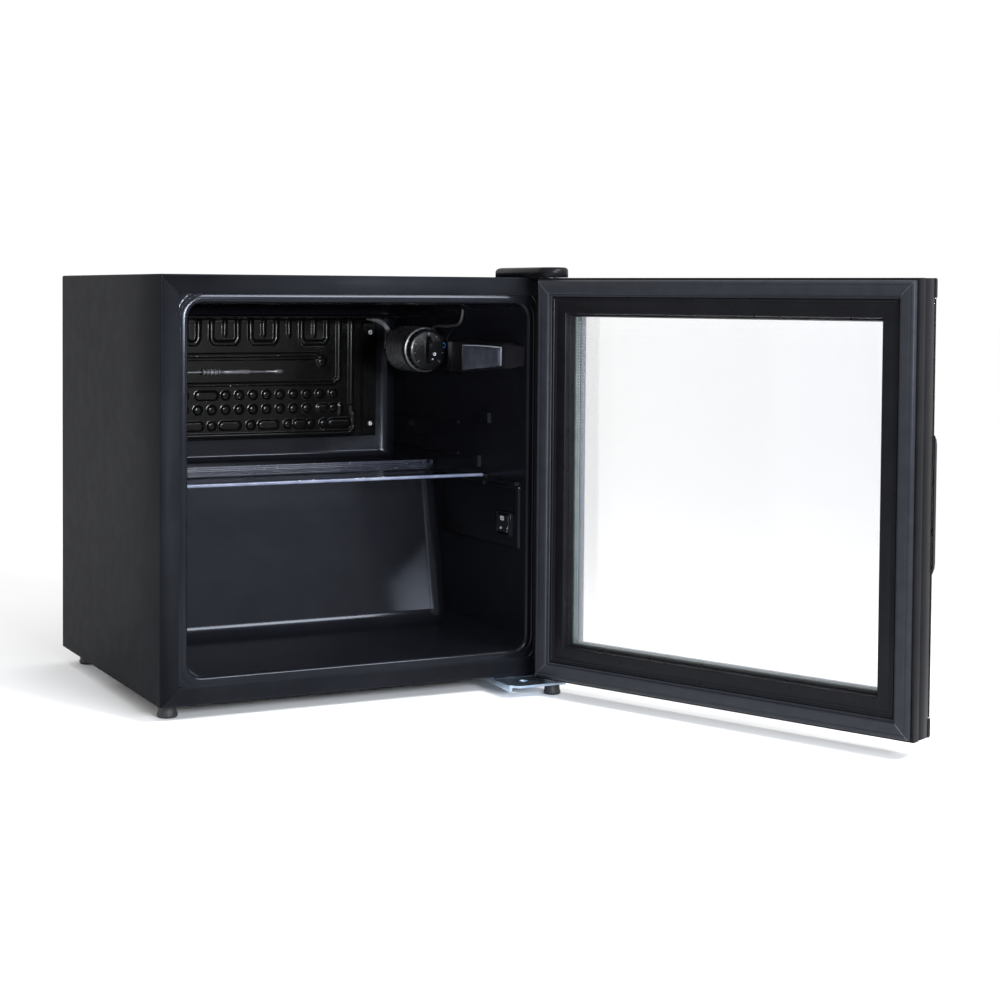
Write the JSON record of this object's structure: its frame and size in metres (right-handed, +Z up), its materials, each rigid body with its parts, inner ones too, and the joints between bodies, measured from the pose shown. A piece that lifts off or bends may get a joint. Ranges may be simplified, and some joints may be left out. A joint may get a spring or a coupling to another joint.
{
  "type": "countertop glass door refrigerator",
  "caption": "Compact countertop cooler: insulated steel cabinet with moulded liner, glass shelf, plate evaporator and dial thermostat, and a hinged double-glazed door.",
  "frame": {"origin": "centre of the cabinet's footprint on the plane under the feet", "axes": "+Z up, -Y out of the cabinet's front, +X to the hinge side"},
  "size_m": [0.6802, 0.8716, 0.504],
  "materials": {
    "cabinet_paint": "satin",
    "foam": "matte",
    "liner": "gloss",
    "evaporator": "satin",
    "black_trim": "satin",
    "screw_steel": "satin",
    "zinc_steel": "satin",
    "magnet": "matte",
    "tube_sleeve": "satin",
    "circuit_board": "satin",
    "lens": "gloss",
    "white_plastic": "gloss",
    "clear_glass": "gloss",
    "shelf_trim": "gloss",
    "compressor_paint": "satin",
    "rubber": "matte",
    "copper": "satin",
    "steel_tube": "satin",
    "seal": "satin",
    "spacer": "satin"
  },
  "bodies": {
    "cabinet": {"outer_shell": "cabinet_paint", "base_pan": "cabinet_paint", "back_panel": "cabinet_paint", "foam_insulation": "foam", "inner_liner": "liner", "evaporator_plate": "evaporator", "evaporator_spacers": "black_trim", "evaporator_screws": "screw_steel", "thermostat_housing": "liner", "thermostat_unit": "zinc_steel", "thermostat_capillary": "tube_sleeve", "lamp_lead": "tube_sleeve", "led_board": "circuit_board", "lamp_lens": "lens", "switch_cover": "liner", "switch_pivot_pin": "screw_steel", "compressor_plate": "zinc_steel", "compressor": "compressor_paint", "compressor_grommets": "rubber", "compressor_bolts": "screw_steel", "relay_cover": "tube_sleeve", "filter_drier": "copper", "discharge_tube": "copper", "suction_tube": "copper", "capillary_tube": "copper", "condenser_tube": "steel_tube", "drain_spout": "white_plastic", "evaporation_tray": "tube_sleeve", "mains_inlet_gland": "tube_sleeve", "rear_feet": "rubber", "top_hinge_bracket": "zinc_steel", "top_hinge_pin": "screw_steel", "top_hinge_screws": "screw_steel", "top_hinge_cover": "black_trim", "bottom_hinge_bracket": "zinc_steel", "bottom_hinge_pin": "screw_steel", "bottom_hinge_screws": "screw_steel"},
    "door": {"door_outer_frame": "black_trim", "door_top_cap": "black_trim", "door_bottom_cap": "black_trim", "door_inner_frame": "black_trim", "door_gasket": "seal", "gasket_magnets": "magnet", "outer_glass": "clear_glass", "inner_glass": "clear_glass", "glass_spacer": "spacer", "door_handle": "black_trim", "door_bushes": "white_plastic"},
    "thermostat_dial": {"thermostat_shaft": "screw_steel", "thermostat_knob": "black_trim"},
    "lamp_switch": {"light_switch_rocker": "white_plastic"},
    "shelf": {"glass_shelf": "clear_glass", "shelf_rear_trim": "shelf_trim", "shelf_end_caps": "shelf_trim"},
    "left_levelling_foot": {"front_left_foot": "rubber"},
    "right_levelling_foot": {"bracket_foot": "rubber"}
  },
  "joints": [
    {"name": "door_hinge", "type": "hinge", "parent": "cabinet", "child": "door", "pos_m": [0.232, -0.2272, 0], "axis": [0, 0, 1], "range_deg": [-113, 17]},
    {"name": "thermostat_turn", "type": "hinge", "parent": "cabinet", "child": "thermostat_dial", "pos_m": [0.175, 0, 0.401], "axis": [0, 1, 0], "range_deg": [0, 270]},
    {"name": "lamp_switch_rock", "type": "hinge", "parent": "cabinet", "child": "lamp_switch", "pos_m": [0.20601, -0.155, 0.1955], "axis": [0, 1, 0], "range_deg": [-9, 0]},
    {"name": "shelf_slide", "type": "slide", "parent": "cabinet", "child": "shelf", "axis": [0, -1, 0], "range_m": [0, 0.085]},
    {"name": "left_foot_level", "type": "slide", "parent": "cabinet", "child": "left_levelling_foot", "axis": [0, 0, -1], "range_m": [0, 0.008]},
    {"name": "right_foot_level", "type": "slide", "parent": "cabinet", "child": "right_levelling_foot", "axis": [0, 0, -1], "range_m": [0, 0.006]}
  ]
}
